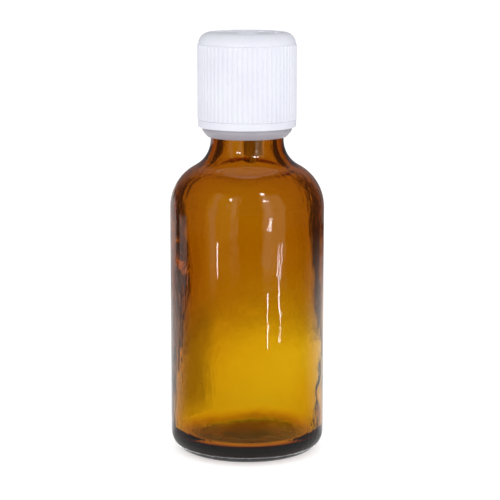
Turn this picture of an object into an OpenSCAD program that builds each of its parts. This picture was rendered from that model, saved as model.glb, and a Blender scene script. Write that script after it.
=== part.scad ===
// Amber glass pharmacy vial with a dropper insert and a two-piece, push-and-turn
// child-resistant closure with a tamper-evident ring.
// Millimetres. Z is the bottle's axis, and the origin is the centre of the base.

/* [Bottle] */
// Outer diameter of the glass body
body_d = 37; // [34:0.5:46]
// Height of the glass from the base to the rim of the mouth
bottle_h = 93.2; // [86:0.1:112]
// Height at which the straight body meets the shoulder
body_h = 59.7; // [45:0.1:61]
// Radius of the shoulder, in section
shoulder_r = 11.1; // [9:0.1:14]
// Radius of the curve between shoulder and neck
neck_fillet_r = 7.2; // [3:0.1:7.8]
// Radius of the heel, where the wall turns into the base
heel_r = 4.8; // [2:0.1:5.5]
// Thickness of the glass wall
wall_t = 1.9; // [1.4:0.1:2.8]
// Thickness of the glass floor over the bearing ring
floor_t = 4.1; // [2.8:0.1:5]
// Height of the hollow under the base
push_up_h = 1.2; // [0.6:0.1:1.8]

/* [Neck finish] */
// Diameter of the collar of plain glass under the bead
neck_d = 17.5; // [16.8:0.1:18.2]
// Diameter of the bead that holds the tamper ring down
bead_d = 18.7; // [18.4:0.1:19.6]
// Depth of the bead's underside below the rim
bead_drop = 15.05; // [14.4:0.05:17]
// Diameter of the glass between the turns of the thread
root_d = 15.9; // [15:0.1:16.2]
// Diameter over the glass thread
thread_d = 17.8; // [17.2:0.1:18.2]
// Pitch of the thread
pitch = 3; // [2.5:0.1:3.4]
// Turns of glass thread
thread_turns = 1.75; // [1:0.25:2]
// Diameter of the mouth
bore_d = 11.6; // [9.6:0.1:12.2]

/* [Dropper insert] */
// Thickness of the flange that lies on the rim
flange_t = 0.8; // [0.6:0.1:1.2]
// Length of the plug inside the mouth
plug_l = 8.6; // [6:0.2:10]
// Wall of the plug
plug_wall = 1; // [0.8:0.1:1.4]
// Outer diameter of the air tube
tube_d = 4.5; // [3.6:0.1:4.8]
// Distance of the air tube from the axis
tube_offset = 1.4; // [1:0.1:1.8]
// Depth of the air tube's shoulder below the rim
tube_l = 21.6; // [16:0.2:26]
// Length of the fine tip below that shoulder
tip_l = 2.5; // [1.5:0.1:4]
// Height of the drop nozzle above the rim
nozzle_h = 2.6; // [2.2:0.1:3.4]
// Outer diameter of the drop nozzle
nozzle_d = 3.8; // [3.4:0.1:4]

/* [Inner cap] */
// Outer diameter of the inner cap's skirt
inner_d = 20.6; // [20.2:0.1:20.9]
// Wall of the inner cap's skirt
inner_wall = 1.05; // [0.9:0.05:1.1]
// Thickness of the inner cap's top
inner_top_t = 1; // [0.8:0.1:1.4]
// Diameter inside the closure's own thread
ridge_d = 16.7; // [16.5:0.1:16.9]
// Number of drive teeth on each cap
tooth_n = 12; // [8:4:12]

/* [Outer cap] */
// Diameter over the ribs
cap_d = 23.7; // [23.3:0.1:25]
// Height of the outer cap
cap_h = 22.4; // [21.6:0.1:24]
// Number of grip ribs round the cap
rib_n = 60; // [40:4:72]
// Height of a rib above the wall
rib_h = 0.28; // [0.2:0.02:0.4]
// Thickness of the cap's top
cap_top_t = 1.1; // [0.9:0.1:1.4]
// Radius of the rounded edge of the top
cap_edge_r = 2.7; // [1:0.1:2.8]
// How far the outer cap travels when it is pressed
press_travel = 1.5; // [1:0.1:2]

/* [Tamper ring] */
// Outer diameter of the tamper ring
ring_d = 21.4; // [21:0.1:21.5]
// Height of the tamper ring
ring_h = 3; // [2.6:0.1:3.4]
// Number of break-away bridges
bridge_n = 8; // [6:1:12]

/* [Hidden] */
$fn = 96;

// Small distances used throughout
eps = 0.02;         // faces that rest on each other stop this far apart
bury = 0.3;         // how deep an added feature is rooted in its wall

// Glass
body_r = body_d / 2;
neck_r = neck_d / 2;
bore_r = bore_d / 2;
root_r = root_d / 2;
bead_r = bead_d / 2;
inside_fillet_r = 10;                           // inside curve between shoulder and bore
inside_heel_r = 4;                              // inside corner of the floor
bearing_inner_r = body_r - heel_r - 2.3;        // inner edge of the ring that the base stands on
push_up_flat_r = 5;
bead_z = bottle_h - bead_drop;
bead_flat = 0.55;                               // cylindrical height of the bead
bead_slope = 0.95;                              // height of the slope over the bead
lip_r = 0.7;                                    // rounding of the mouth's outer edge
thread_w = 0.57 * pitch;                        // width of the glass thread at its root
thread_top_drop = 3;                            // depth of the thread's upper end below the rim
thread_z = bottle_h - thread_top_drop - pitch * thread_turns;

// Insert
flange_r = root_r - 0.55;
seal_bite = 0.04;                               // squeeze of the plug's sealing rings in the mouth
seal_n = 3;
seal_h = 0.5;
seal_gap = 2.3;                                 // distance from one sealing ring to the next
seal_first = 1.2;                               // the lowest ring's height over the plug's foot
plug_r = bore_r - 0.12;
plug_floor_t = 0.9;
tube_r = tube_d / 2;
tube_bore_r = tube_r - 0.75;
tip_r = 0.95;
tip_end_r = 0.6;
vent_r = 0.3;                                   // fine way for the air, at both ends of the tube
nozzle_r = nozzle_d / 2;
nozzle_lip = 0.2;                               // the drop edge stands out this far
nozzle_lip_h = 0.4;
nozzle_bore_r = 0.7;
well_r = 1.6;                                   // small chamber under the nozzle
well_h = 1;
inlet_r = 0.45;                                 // way for the liquid, beside the air tube
inlet_x = -well_r + 0.15;
vent_x = nozzle_r + nozzle_lip + vent_r + 0.1;
insert_top = bottle_h + flange_t;

// Inner cap
inner_r = inner_d / 2;
inner_bore_r = inner_r - inner_wall;
nozzle_clear = 0.3;
inner_under = bottle_h + nozzle_h + nozzle_clear;
inner_top = inner_under + inner_top_t;
bridge_gap = 0.4;                               // slit between the tamper ring and the inner cap
ring_lip_drop = 1.55;                           // ring's foot below the underside of the bead
ring_z = bead_z - ring_lip_drop;
ring_top = ring_z + ring_h;
ring_r = ring_d / 2;
ring_bore_r = bead_r + 0.22;
lip_bore_r = neck_r + 0.2;                      // the ring's lip catches under the bead
ring_foot_r = ring_r - 1.3;
bridge_w = 0.7;
inner_z = ring_top + bridge_gap;
seal_ring_r = 5.9;
seal_ring_t = 0.9;
pin_r = nozzle_bore_r - 0.12;
pin_l = 1.1;
inner_chamfer = 0.6;
ridge_root_w = 0.43 * pitch;                    // width of the closure's thread at the skirt
ridge_tip_w = 0.23 * pitch;
ridge_drop = 0.385 * pitch;                     // it lies this far under the glass thread, nearly touching
ridge_turns = 1.5;
ridge_start = 90;
ridge_z = thread_z - ridge_drop + pitch * ridge_start / 360;
snap_z = inner_z + 2.7;                         // underside of the inner cap's snap bead
snap_h = 1;
snap_proud = 0.4;

// Drive teeth: the gap under the outer cap holds both rows and the travel
rest_clear = 0.25;                              // gap between the rows when the cap is not pressed
seat_clear = 0.22;                              // gap over a tooth's tip when the cap is pressed
tooth_in = 7.1;
tooth_out = 9.6;
tooth_w = 1.6;
drive_gap = 2 * press_travel - rest_clear + 2 * seat_clear;
tooth_l = drive_gap - press_travel - seat_clear;
cap_under = inner_top + drive_gap;

// Outer cap
cap_r = cap_d / 2;
cap_top = cap_under + cap_top_t;
cap_z = cap_top - cap_h;
wall_r = cap_r - rib_h;                         // the wall between the ribs
band_r = cap_r - 0.1;                           // plain band under the ribs
band_h = 1.8;
crown_r = wall_r + 0.02;                        // plain crown over the ribs
crown_h = 2.8;
foot_chamfer = 0.3;
cap_bore_r = ring_d / 2 + 0.25;                 // wide bore that goes down over the tamper ring
grip_bore_r = inner_r + 0.3;                    // close bore round the inner cap, above its snap bead
grip_bore_z = snap_z + snap_h + press_travel + 0.2;
dish_depth = 0.3;                               // the top is dished, so that its marks stay off the rim
dish_r = crown_r - cap_edge_r - 0.5;
catch_r = inner_r + 0.15;                       // snap bead inside the outer cap
catch_h = 0.8;
catch_z = snap_z - 0.15 - catch_h;
mark_r = dish_r - 1.5;                          // middle line of the turning arrows
mark_w = 0.9;
mark_sweep = 110;
arrow_l = 2.4;
arrow_w = 2.6;
press_mark_d = 5.2;

// Spring tongues
spring_in = 3.3;
spring_out = 6.3;
spring_plate_t = 0.5;
tongue_n = 6;
tongue_t = 0.5;
tongue_lean = 1.9;                              // how far a tongue's foot stands round from its root

// ---------------------------------------------------------------- shapes

// Right half of a vessel's section: straight body, round shoulder, waist curve and neck.
module vessel_outline(r_body, r_neck, r_shoulder, r_waist, r_heel, z_low, z_high) {
    shoulder_x = r_body - r_shoulder;
    waist_x = r_neck + r_waist;
    waist_z = body_h + sqrt(pow(r_shoulder + r_waist, 2) - pow(waist_x - shoulder_x, 2));
    translate([0, z_low + r_heel])
        square([r_body, body_h - z_low - r_heel]);
    translate([0, z_low])
        square([r_body - r_heel, r_heel]);
    translate([r_body - r_heel, z_low + r_heel])
        circle(r = r_heel);
    intersection() {
        translate([shoulder_x, body_h])
            circle(r = r_shoulder);
        translate([0, body_h - eps])
            square([r_body, r_shoulder + eps]);
    }
    difference() {
        polygon([[0, body_h], [shoulder_x, body_h], [waist_x, waist_z], [0, waist_z]]);
        translate([waist_x, waist_z])
            circle(r = r_waist);
    }
    translate([0, waist_z - eps])
        square([r_neck, z_high - waist_z + eps]);
}

// Sections of threads: points [distance out of the wall, height]. Their feet lie inside the wall,
// so that their flanks cut its face cleanly.
function round_thread(out, width, steps = 6) = concat(
    [[-bury, -width / 2]],
    [for (k = [1:steps - 1]) [out * pow(sin(180 * k / steps), 0.8), width * (k / steps - 0.5)]],
    [[-bury, width / 2]]
);

function flat_thread(out, root_w, tip_w) = [
    [-bury, -root_w / 2], [out, -tip_w / 2], [out, tip_w / 2], [-bury, root_w / 2]
];

// How much of its height a thread has at ring i: it grows from one end and fades at the other.
function run_out(i, rings, fade) = max(0.15, min(1, i / fade, (rings - i) / fade));

// A list from its last item to its first.
function reversed(list) = [for (k = [len(list) - 1:-1:0]) list[k]];

// A thread swept up a right-handed helix. side is 1 on a shaft and -1 in a bore.
module helix(section, wall_r, side, z, turns, start = 0, per_turn = 48) {
    rings = round(per_turn * turns);
    size = len(section);
    points = [
        for (i = [0:rings])
            let (turn = start + 360 * i / per_turn, grow = run_out(i, rings, per_turn / 8))
            for (p = section)
                let (r = wall_r + side * p[0] * (p[0] < 0 ? 1 : grow))
                [r * cos(turn), r * sin(turn), z + pitch * i / per_turn + p[1]]
    ];
    sides = [
        for (i = [0:rings - 1], k = [0:size - 1])
            let (a = i * size + k, b = i * size + (k + 1) % size)
            [a, b, b + size, a + size]
    ];
    low_end = [for (k = [0:size - 1]) size - 1 - k];
    high_end = [for (k = [0:size - 1]) rings * size + k];
    faces = concat(sides, [low_end, high_end]);
    polyhedron(points, side > 0 ? faces : [for (face = faces) reversed(face)]);
}

// Copies of a child spaced evenly round the axis.
module around(n, turn = 0) {
    for (i = [0:n - 1])
        rotate([0, 0, turn + 360 * i / n])
            children();
}

// A bar from r_in to r_out along X, whose end view is a polygon in Y and Z.
module radial_bar(r_in, r_out, outline) {
    translate([r_in, 0, 0])
        rotate([90, 0, 90])
            linear_extrude(height = r_out - r_in)
                polygon(outline);
}

// ---------------------------------------------------------------- sub-parts

module bottle() {
    color("#a05a0a")
    difference() {
        union() {
            rotate_extrude()
                vessel_outline(body_r, neck_r, shoulder_r, neck_fillet_r, heel_r, 0, bead_z);
            bottle_finish();
        }
        rotate_extrude()
            vessel_outline(body_r - wall_t, bore_r, shoulder_r - wall_t, inside_fillet_r,
                           inside_heel_r, floor_t, bottle_h + 1);
        rotate_extrude()
            push_up_outline();
    }
}

// Right half of the hollow under the base: flat in the middle, and arched down to the bearing ring.
module push_up_outline() {
    arch_w = bearing_inner_r - push_up_flat_r;
    arch_r = (pow(arch_w, 2) + pow(push_up_h, 2)) / (2 * push_up_h);
    intersection() {
        translate([push_up_flat_r, push_up_h - arch_r])
            circle(r = arch_r);
        translate([push_up_flat_r, -1])
            square([2 * arch_w, push_up_h + 2]);
    }
    translate([0, -1])
        square([push_up_flat_r + eps, push_up_h + 1]);
}

// The glass above the collar: bead, threaded wall and rounded lip.
module bottle_finish() {
    bead_top = bead_z + bead_flat + bead_slope;
    rotate_extrude()
        polygon([
            [0, bead_z - eps], [bead_r - 0.15, bead_z - eps], [bead_r, bead_z + 0.15],
            [bead_r, bead_z + bead_flat], [root_r, bead_top], [root_r, bottle_h - lip_r],
            [root_r - lip_r, bottle_h], [0, bottle_h]
        ]);
    helix(round_thread(thread_d / 2 - root_r, thread_w), root_r, 1, thread_z, thread_turns);
}

module dropper_insert() {
    plug_z = bottle_h - plug_l;
    tube_z = bottle_h - tube_l;
    nozzle_top = bottle_h + nozzle_h;
    color("#f3f1ea")
    difference() {
        union() {
            translate([0, 0, bottle_h + eps])
                cylinder(r = flange_r, h = flange_t - eps);
            translate([0, 0, plug_z])
                cylinder(r = plug_r, h = insert_top - plug_z);
            for (k = [0:seal_n - 1])
                translate([0, 0, plug_z + seal_first + seal_gap * k])
                    cylinder(r = bore_r + seal_bite, h = seal_h);
            translate([tube_offset, 0, tube_z])
                cylinder(r = tube_r, h = tube_l);
            translate([tube_offset, 0, tube_z - tip_l])
                cylinder(r1 = tip_end_r, r2 = tip_r, h = tip_l + eps);
            translate([0, 0, insert_top - eps])
                cylinder(r = nozzle_r, h = nozzle_top - insert_top + eps);
            translate([0, 0, nozzle_top - nozzle_lip_h])
                cylinder(r = nozzle_r + nozzle_lip, h = nozzle_lip_h);
        }
        // hollow between the plug's wall and the tube, open below
        difference() {
            translate([0, 0, plug_z - 1])
                cylinder(r = plug_r - plug_wall, h = plug_l + 1 - plug_floor_t);
            translate([tube_offset, 0, plug_z - 2])
                cylinder(r = tube_r, h = plug_l + 2);
        }
        // way for the air: in beside the nozzle, down the tube and out of its tip
        translate([tube_offset, 0, tube_z + 1])
            cylinder(r = tube_bore_r, h = tube_l - 1 - plug_floor_t);
        translate([tube_offset, 0, tube_z - tip_l - 1])
            cylinder(r = vent_r, h = tip_l + 3);
        translate([vent_x, 0, bottle_h - plug_floor_t - 1])
            cylinder(r = vent_r, h = plug_floor_t + flange_t + 2);
        // way for the liquid: up beside the tube into a well, and out of the nozzle
        translate([inlet_x, 0, bottle_h - plug_floor_t - 1])
            cylinder(r = inlet_r, h = insert_top - well_h / 2 - bottle_h + plug_floor_t + 1);
        translate([0, 0, insert_top - well_h])
            cylinder(r = well_r, h = well_h - 0.2);
        translate([0, 0, insert_top - well_h])
            cylinder(r = nozzle_bore_r, h = nozzle_h + well_h + 1);
    }
}

module tamper_ring() {
    color("#eeeef2")
    union() {
        rotate_extrude()
            polygon([
                [lip_bore_r, ring_z + 0.25], [lip_bore_r + 0.25, ring_z], [ring_foot_r, ring_z],
                [ring_r - 0.15, ring_z + 1.25], [ring_r, ring_z + 1.7], [ring_r, ring_top],
                [ring_bore_r, ring_top], [ring_bore_r, bead_z - 0.1], [lip_bore_r, bead_z - 0.35]
            ]);
        around(bridge_n)
            translate([ring_bore_r + 0.2, -bridge_w / 2, ring_top - bury])
                cube([0.5, bridge_w, bury + bridge_gap - 0.05]);
    }
}

module inner_cap() {
    snap_r = inner_r + snap_proud;
    color("#f2f2f5")
    union() {
        rotate_extrude()
            polygon([
                [inner_bore_r, inner_z], [inner_r, inner_z], [inner_r, snap_z], [snap_r, snap_z],
                [snap_r, snap_z + snap_h / 2], [inner_r, snap_z + snap_h],
                [inner_r, inner_top - inner_chamfer], [inner_r - inner_chamfer, inner_top],
                [0, inner_top], [0, inner_under], [inner_bore_r, inner_under]
            ]);
        difference() {
            translate([0, 0, insert_top + eps])
                cylinder(r = seal_ring_r, h = inner_under - insert_top + bury);
            translate([0, 0, insert_top - 1])
                cylinder(r = seal_ring_r - seal_ring_t, h = inner_under - insert_top + 1);
        }
        translate([0, 0, inner_under - nozzle_clear - pin_l])
            cylinder(r = pin_r, h = nozzle_clear + pin_l + bury);
        helix(flat_thread(inner_bore_r - ridge_d / 2, ridge_root_w, ridge_tip_w),
              inner_bore_r, -1, ridge_z, ridge_turns, ridge_start);
        around(tooth_n)
            translate([0, 0, inner_top])
                radial_bar(tooth_in, tooth_out, [
                    [-tooth_w / 2, -bury], [tooth_w / 2, -bury], [tooth_w / 2, tooth_l],
                    [-tooth_w / 8, tooth_l], [-tooth_w / 2, 0]
                ]);
    }
}

module spring_tongues() {
    plate_z = cap_under - eps - spring_plate_t;
    drop = plate_z + bury - inner_top - eps;
    color("#f4f4f6")
    union() {
        difference() {
            translate([0, 0, plate_z])
                cylinder(r = spring_out, h = spring_plate_t);
            translate([0, 0, plate_z - 1])
                cylinder(r = spring_in, h = spring_plate_t + 2);
        }
        around(tongue_n)
            translate([0, -tongue_lean / 2, inner_top + eps])
                radial_bar(spring_in + 0.4, spring_out - 0.2, [
                    [0, drop], [tongue_lean, 0], [tongue_lean + tongue_t, 0], [tongue_t, drop]
                ]);
    }
}

module outer_cap() {
    color("#f6f6f9") {
        difference() {
            union() {
                rotate_extrude()
                    crown_outline();
                translate([0, 0, cap_z + band_h])
                    linear_extrude(height = cap_h - band_h - crown_h)
                        ribbed_outline();
                translate([0, 0, cap_top - dish_depth - eps])
                    linear_extrude(height = dish_depth)
                        turn_marks();
            }
            rotate_extrude()
                polygon([
                    [0, cap_z - 1], [cap_bore_r, cap_z - 1], [cap_bore_r, grip_bore_z],
                    [grip_bore_r, grip_bore_z + cap_bore_r - grip_bore_r],
                    [grip_bore_r, cap_under - inner_chamfer], [grip_bore_r - inner_chamfer, cap_under],
                    [0, cap_under]
                ]);
        }
        outer_cap_inside();
    }
}

// Right half of the outer cap's section without its ribs, solid inside.
module crown_outline() {
    wall_top = cap_top - crown_h;
    edge_z = cap_top - cap_edge_r;
    difference() {
        union() {
            polygon([
                [0, cap_z], [band_r - foot_chamfer, cap_z], [band_r, cap_z + foot_chamfer],
                [band_r, cap_z + band_h], [wall_r - eps, cap_z + band_h], [wall_r - eps, wall_top],
                [crown_r, wall_top], [crown_r, edge_z], [0, edge_z]
            ]);
            translate([0, edge_z - eps])
                square([crown_r - cap_edge_r, cap_edge_r + eps]);
            translate([crown_r - cap_edge_r, edge_z])
                circle(r = cap_edge_r);
        }
        translate([-1, cap_top - dish_depth])
            square([dish_r + 1, dish_depth + 1]);
    }
}

// Plan of the ribbed wall: rib_n flat-topped ribs with sloping sides.
module ribbed_outline() {
    step = 360 / rib_n;
    polygon([
        for (i = [0:rib_n - 1], p = [[-0.36, 0], [-0.24, 0.7], [-0.1, 1], [0.1, 1], [0.24, 0.7], [0.36, 0]])
            let (a = step * (i + p[0]), r = wall_r + rib_h * p[1])
            [r * cos(a), r * sin(a)]
    ]);
}

// Plain turning marks on the top: two arrows that run round it, and a press mark in the middle.
module turn_marks() {
    around(2) {
        polygon(concat(
            [for (a = [0:10:mark_sweep]) (mark_r + mark_w / 2) * [cos(a), sin(a)]],
            [for (a = [mark_sweep:-10:0]) (mark_r - mark_w / 2) * [cos(a), sin(a)]]
        ));
        rotate([0, 0, mark_sweep - 1])
            translate([mark_r, 0])
                polygon([[-arrow_w / 2, 0], [arrow_w / 2, 0], [0, arrow_l]]);
    }
    difference() {
        circle(d = press_mark_d);
        circle(d = press_mark_d - 2 * mark_w);
    }
    circle(r = mark_w);
}

// What is moulded inside the outer cap: the catch that holds the inner cap, and the drive teeth.
module outer_cap_inside() {
    rotate_extrude()
        polygon([
            [cap_bore_r + bury, catch_z], [cap_bore_r, catch_z], [catch_r, catch_z + catch_h / 2],
            [catch_r, catch_z + catch_h], [cap_bore_r + bury, catch_z + catch_h]
        ]);
    around(tooth_n, 180 / tooth_n)
        translate([0, 0, cap_under])
            radial_bar(tooth_in, tooth_out, [
                [-tooth_w / 2, bury], [-tooth_w / 2, -tooth_l], [tooth_w / 8, -tooth_l],
                [tooth_w / 2, 0], [tooth_w / 2, bury]
            ]);
}

bottle();
dropper_insert();
tamper_ring();
inner_cap();
spring_tongues();
outer_cap();
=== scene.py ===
"""Amber glass medicine vial: moulded glass, dropper insert, push-and-turn closure, tamper ring."""

import logging
import math
from contextlib import contextmanager
from dataclasses import dataclass, field
from enum import Enum
from typing import Callable, Iterator

import bmesh
import bpy
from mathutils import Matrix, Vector


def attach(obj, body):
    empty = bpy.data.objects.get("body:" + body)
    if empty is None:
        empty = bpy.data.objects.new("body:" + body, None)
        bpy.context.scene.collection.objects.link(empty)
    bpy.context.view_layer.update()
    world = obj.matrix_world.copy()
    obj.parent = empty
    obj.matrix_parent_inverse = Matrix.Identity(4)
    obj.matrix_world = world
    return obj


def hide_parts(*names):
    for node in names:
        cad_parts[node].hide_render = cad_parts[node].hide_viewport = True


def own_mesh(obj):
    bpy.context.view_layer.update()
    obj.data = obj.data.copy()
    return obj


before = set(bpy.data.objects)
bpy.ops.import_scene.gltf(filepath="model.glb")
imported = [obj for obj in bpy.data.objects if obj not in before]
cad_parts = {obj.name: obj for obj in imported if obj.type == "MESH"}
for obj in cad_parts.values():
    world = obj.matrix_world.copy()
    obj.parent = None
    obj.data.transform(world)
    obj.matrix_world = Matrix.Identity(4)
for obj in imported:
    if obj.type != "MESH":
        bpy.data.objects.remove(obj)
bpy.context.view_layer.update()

LOG = logging.getLogger("vial")
MM = 0.001
FULL = 2 * math.pi
MERGE = 1e-6

Outline = list[tuple[float, float]]
Piece = bpy.types.Object


# ------------------------------------------------------------------ modelling

class Element(Enum):
    """What a selection in edit mode holds."""

    VERT = "VERT"
    EDGE = "EDGE"
    FACE = "FACE"


class Boolean(Enum):
    """How one solid is combined with another."""

    ADD = "UNION"
    CUT = "DIFFERENCE"


def deselect_all() -> None:
    """Leaves edit mode and deselects every object."""
    if bpy.context.mode != "OBJECT":
        bpy.ops.object.mode_set(mode="OBJECT")
    bpy.ops.object.select_all(action="DESELECT")


def only(piece: Piece) -> None:
    """Makes one piece the whole selection and the active object."""
    deselect_all()
    piece.select_set(True)
    bpy.context.view_layer.objects.active = piece


@contextmanager
def editing(piece: Piece) -> Iterator[Piece]:
    """Opens a piece in edit mode with all of it selected, and closes it again.

    Args:
        piece: the mesh to edit.

    Returns:
        The same piece, for use inside the block.
    """
    only(piece)
    bpy.ops.object.mode_set(mode="EDIT")
    bpy.ops.mesh.select_mode(type=Element.VERT.value)
    bpy.ops.mesh.select_all(action="SELECT")
    yield piece
    bpy.ops.object.mode_set(mode="OBJECT")


def pick(piece: Piece, test: Callable[[Vector], bool], kind: Element = Element.VERT) -> None:
    """Selects parts of a piece that is open in edit mode.

    Args:
        piece: the mesh being edited.
        test: says from a part's centre (mm) whether it is wanted.
        kind: vertices, open edges or faces.
    """
    bpy.ops.mesh.select_mode(type=kind.value)
    bpy.ops.mesh.select_all(action="DESELECT")
    mesh = bmesh.from_edit_mesh(piece.data)
    if kind is Element.VERT:
        parts = [(vert, vert.co) for vert in mesh.verts]
    elif kind is Element.EDGE:
        parts = [(edge, (edge.verts[0].co + edge.verts[1].co) / 2) for edge in mesh.edges if edge.is_boundary]
    else:
        parts = [(face, face.calc_center_median()) for face in mesh.faces]
    for part, middle in parts:
        if test(middle / MM):
            part.select_set(True)
    mesh.select_flush(True)
    bmesh.update_edit_mesh(piece.data)


def finish_mesh(piece: Piece, smooth_deg: float = 40.0) -> Piece:
    """Applies the piece's place, closes its seams, turns its faces outward and smooths it.

    Args:
        piece: the mesh to finish.
        smooth_deg: edges flatter than this angle are shaded smooth.

    Returns:
        The same piece.
    """
    only(piece)
    bpy.ops.object.transform_apply(location=True, rotation=True, scale=True)
    with editing(piece):
        bpy.ops.mesh.remove_doubles(threshold=MERGE)
        bpy.ops.mesh.select_all(action="SELECT")
        bpy.ops.mesh.normals_make_consistent(inside=False)
    only(piece)
    bpy.ops.object.shade_smooth_by_angle(angle=math.radians(smooth_deg))
    return piece


def radius_of(place: Vector) -> float:
    """Distance of a place from the vial's axis."""
    return math.hypot(place.x, place.y)


def angle_of(place: Vector) -> float:
    """Angle of a place round the vial's axis, 0 to 360 degrees."""
    return math.degrees(math.atan2(place.y, place.x)) % 360


def arc(centre: tuple[float, float], radius: float, start: float, end: float, steps: int) -> Outline:
    """Points along an arc of a section.

    Args:
        centre: the arc's centre, distance from the axis and height, in mm.
        radius: its radius in mm.
        start: first angle in degrees, from outward towards up.
        end: last angle in degrees.
        steps: how many parts it is cut into.

    Returns:
        steps + 1 points.
    """
    angles = [math.radians(start + (end - start) * k / steps) for k in range(steps + 1)]
    return [(centre[0] + radius * math.cos(a), centre[1] + radius * math.sin(a)) for a in angles]


def run(start: tuple[float, float], end: tuple[float, float], steps: int) -> Outline:
    """Points along a straight run of a section, both ends included."""
    return [
        (start[0] + (end[0] - start[0]) * k / steps, start[1] + (end[1] - start[1]) * k / steps)
        for k in range(steps + 1)
    ]


def draw(name: str, points: Outline) -> Piece:
    """Draws a section in the XZ plane: one vertex, extruded from point to point.

    Args:
        name: the new piece's name.
        points: distances from the axis and heights, in mm.

    Returns:
        A piece that holds the line of edges.
    """
    deselect_all()
    first = points[0]
    bpy.ops.mesh.primitive_plane_add(size=MM, location=(first[0] * MM, 0, first[1] * MM))
    piece = bpy.context.object
    piece.name = piece.data.name = name
    with editing(piece):
        bpy.ops.mesh.merge(type="CENTER")
        for old, new in zip(points, points[1:]):
            step = ((new[0] - old[0]) * MM, 0, (new[1] - old[1]) * MM)
            if math.hypot(step[0], step[2]) > MERGE:
                bpy.ops.mesh.extrude_vertices_move(TRANSFORM_OT_translate={"value": step})
    only(piece)
    bpy.ops.object.transform_apply(location=True, rotation=True, scale=True)
    return piece


def turned(name: str, points: Outline, steps: int, axis_x: float = 0.0) -> Piece:
    """Spins a section round a vertical axis into a closed solid.

    Args:
        name: the new piece's name.
        points: the section, distances from the spin's axis and heights, in mm.
        steps: columns round the axis.
        axis_x: how far the spin's axis stands from the vial's, in mm.

    Returns:
        The solid.
    """
    piece = draw(name, [(r + axis_x, z) for r, z in points])
    with editing(piece):
        bpy.ops.mesh.spin(
            steps=steps, angle=FULL, center=(axis_x * MM, 0, 0), axis=(0, 0, 1), use_auto_merge=True
        )
        bpy.ops.mesh.select_all(action="SELECT")
        bpy.ops.mesh.remove_doubles(threshold=MERGE)
        bpy.ops.mesh.select_all(action="SELECT")
        bpy.ops.mesh.normals_make_consistent(inside=False)
    return piece


def bar(name: str, corners: Outline, inner: float, outer: float, bevel: float) -> Piece:
    """A bar that points away from the axis along X, made by extruding its end view.

    Args:
        name: the new piece's name.
        corners: the end view, places across and heights, in mm.
        inner: where the bar starts, in mm from the axis.
        outer: where it ends.
        bevel: rounding of its edges, in mm.

    Returns:
        The closed bar.
    """
    piece = draw(name, corners)
    with editing(piece):
        bpy.ops.mesh.remove_doubles(threshold=MERGE)
        bpy.ops.mesh.edge_face_add()
        bpy.ops.mesh.extrude_region_move(TRANSFORM_OT_translate={"value": (0, (outer - inner) * MM, 0)})
        bpy.ops.mesh.select_all(action="SELECT")
        bpy.ops.mesh.normals_make_consistent(inside=False)
        bpy.ops.mesh.bevel(offset=bevel * MM, segments=2, affect="EDGES")
        bpy.ops.mesh.select_all(action="SELECT")
        bpy.ops.transform.rotate(
            value=-math.pi / 2, orient_axis="Z", orient_type="GLOBAL", center_override=(0, 0, 0)
        )
        mesh = bmesh.from_edit_mesh(piece.data)
        near = min(v.co.x for v in mesh.verts)
        bpy.ops.transform.translate(value=(inner * MM - near, 0, 0))
    return piece


def copies_round(piece: Piece, count: int, turn: float = 0.0) -> list[Piece]:
    """Turns a piece and its copies, each with its own mesh, to even places round the axis.

    Args:
        piece: the first one, which lies along X.
        count: how many there are in all.
        turn: the first one's angle in degrees.

    Returns:
        All of them.
    """
    made = []
    for k in range(count):
        if k < count - 1:
            copy = piece.copy()
            copy.data = piece.data.copy()
            bpy.context.scene.collection.objects.link(copy)
        else:
            copy = piece
        angle = math.radians(turn + 360 * k / count)
        with editing(copy):
            bpy.ops.transform.rotate(
                value=-angle, orient_axis="Z", orient_type="GLOBAL", center_override=(0, 0, 0)
            )
        made.append(copy)
    return made


def join(body: Piece, parts: list[Piece]) -> Piece:
    """Makes one mesh of a piece and its parts."""
    deselect_all()
    for part in [*parts, body]:
        part.select_set(True)
    bpy.context.view_layer.objects.active = body
    bpy.ops.object.join()
    return body


def combine(body: Piece, tool: Piece, how: Boolean) -> Piece:
    """Adds a solid to a body or cuts it out, by a Boolean modifier that is applied.

    Args:
        body: the solid that is kept.
        tool: the solid that is used up.
        how: whether it is added or cut out.

    Returns:
        The body.
    """
    only(body)
    modifier = body.modifiers.new("cut", "BOOLEAN")
    modifier.operation = how.value
    modifier.solver = "EXACT"
    modifier.object = tool
    bpy.ops.object.modifier_apply(modifier=modifier.name)
    bpy.data.objects.remove(tool, do_unlink=True)
    return body


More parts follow.
